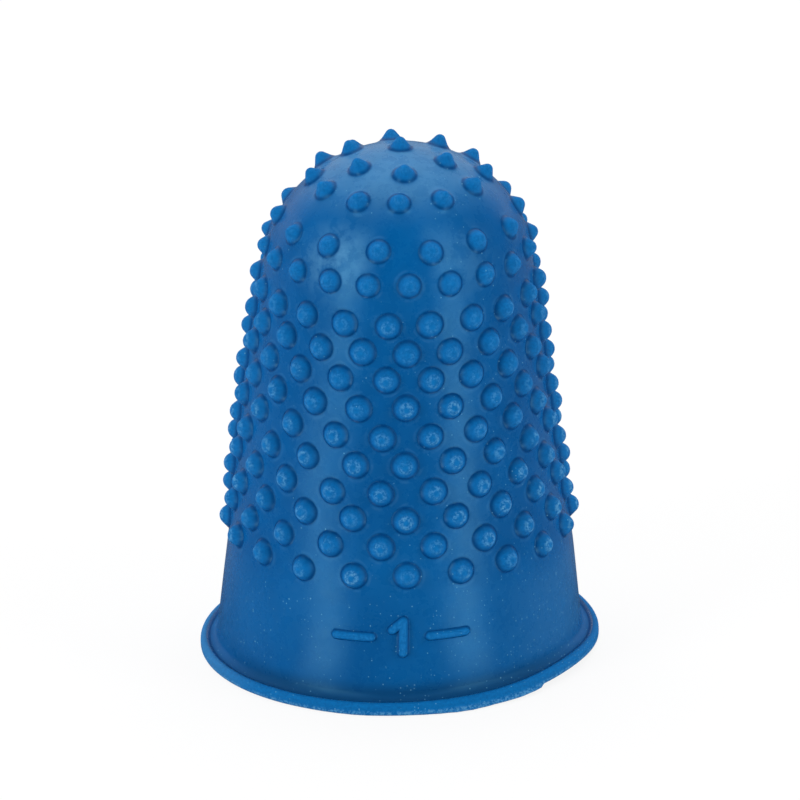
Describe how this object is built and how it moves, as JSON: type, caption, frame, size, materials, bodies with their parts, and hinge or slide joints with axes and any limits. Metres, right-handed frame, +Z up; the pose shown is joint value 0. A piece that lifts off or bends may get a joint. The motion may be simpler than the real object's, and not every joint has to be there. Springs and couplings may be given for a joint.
{
  "type": "rubber finger tip",
  "caption": "Studded thimble-shaped rubber cap with a beaded rim, worn over a fingertip to grip and turn paper.",
  "frame": {"origin": "centre of the open mouth, in the plane of the rim's flat underside", "axes": "+Z up along the axis of the cap from the mouth to the crown, -Y towards the front"},
  "size_m": [0.0242, 0.0242, 0.0327],
  "materials": {
    "blue_rubber": "moulded blue rubber, semi-matt, with a pale bloom and a little dust"
  },
  "bodies": {
    "root": {"finger_tip": "blue_rubber"}
  },
  "joints": []
}
